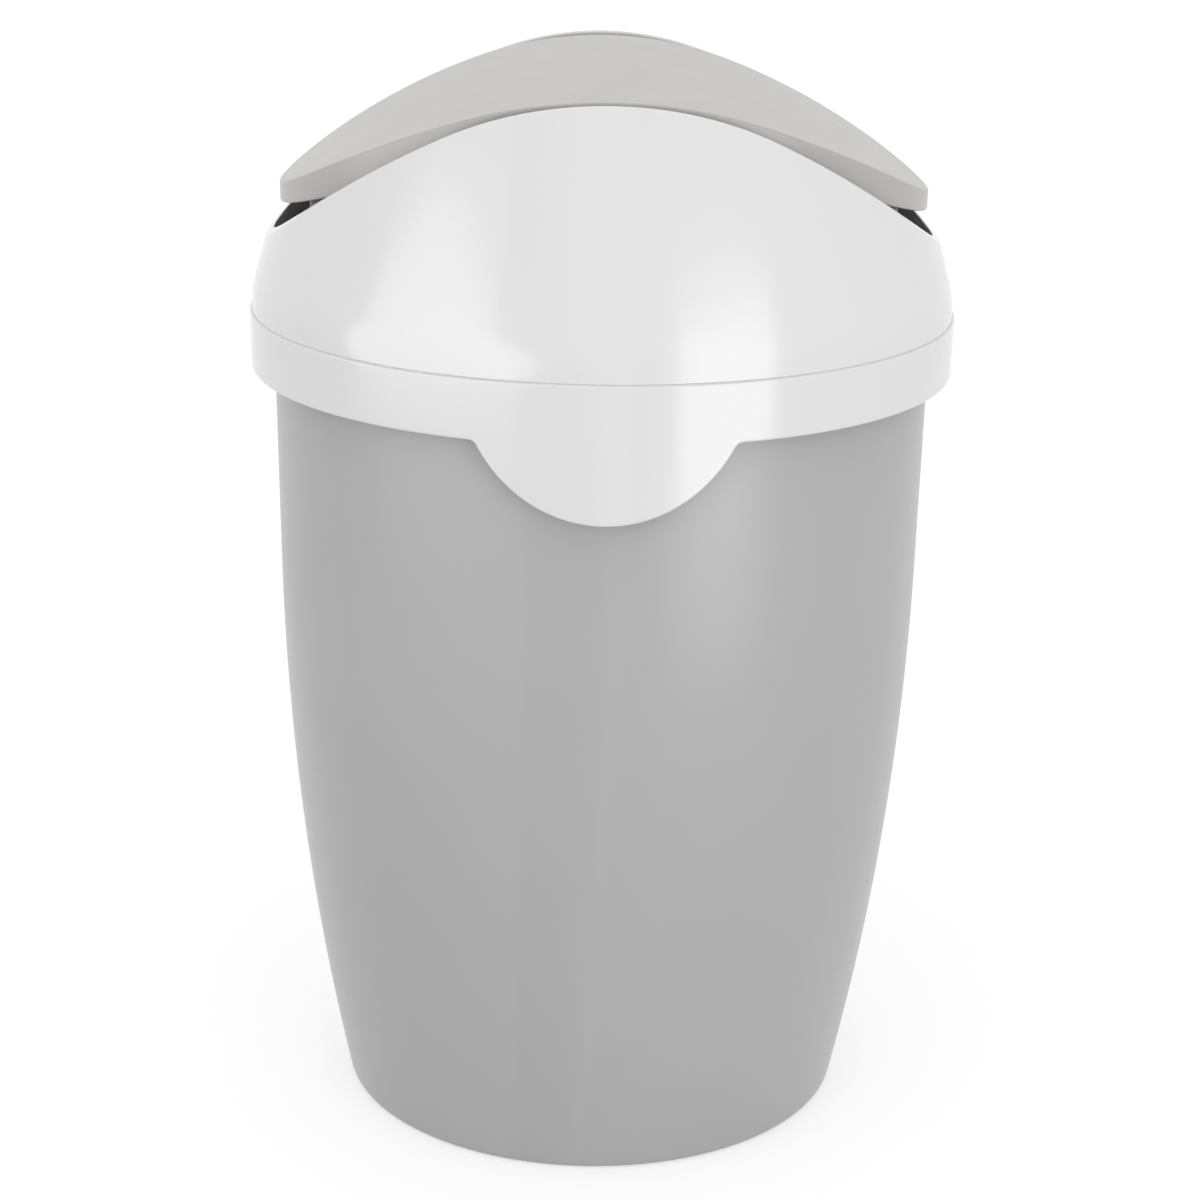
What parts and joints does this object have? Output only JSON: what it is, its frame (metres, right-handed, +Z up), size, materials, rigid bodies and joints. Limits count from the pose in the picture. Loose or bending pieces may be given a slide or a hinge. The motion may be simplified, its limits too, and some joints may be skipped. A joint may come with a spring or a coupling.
{
  "type": "nappy bin",
  "caption": "Oval plastic nappy bin: tapered bucket, lift-off domed hood with a lifting tongue, and a vaulted flap that swings on pivot pins.",
  "frame": {"origin": "on the floor below the middle of the bin", "axes": "+Z up; +X along the bin's width and the flap's swing axis; the front with the lifting tongue faces -Y"},
  "size_m": [0.27, 0.23, 0.4246],
  "materials": {
    "bucket_plastic": "pale grey, satin gloss",
    "hood_plastic": "white, satin gloss",
    "flap_plastic": "off-white, satin gloss",
    "carrier_plastic": "off-white, matt",
    "bearing_plastic": "natural white, matt",
    "pin_steel": "drawn",
    "weight_steel": "turned"
  },
  "bodies": {
    "bucket": {"bucket": "bucket_plastic"},
    "lid": {"hood": "hood_plastic", "bearing_left": "bearing_plastic", "bearing_right": "bearing_plastic"},
    "flap": {"flap_cover": "flap_plastic", "flap_carrier": "carrier_plastic", "pivot_pin_left": "pin_steel", "pivot_pin_right": "pin_steel", "counterweight_left": "weight_steel", "counterweight_right": "weight_steel"}
  },
  "joints": [
    {"name": "lid_lift", "type": "slide", "parent": "bucket", "child": "lid", "axis": [0, 0, 1], "range_m": [0, 0.12]},
    {"name": "flap_swing", "type": "hinge", "parent": "lid", "child": "flap", "pos_m": [0, 0, 0.3675], "axis": [1, 0, 0], "range_deg": [-70, 70]}
  ]
}
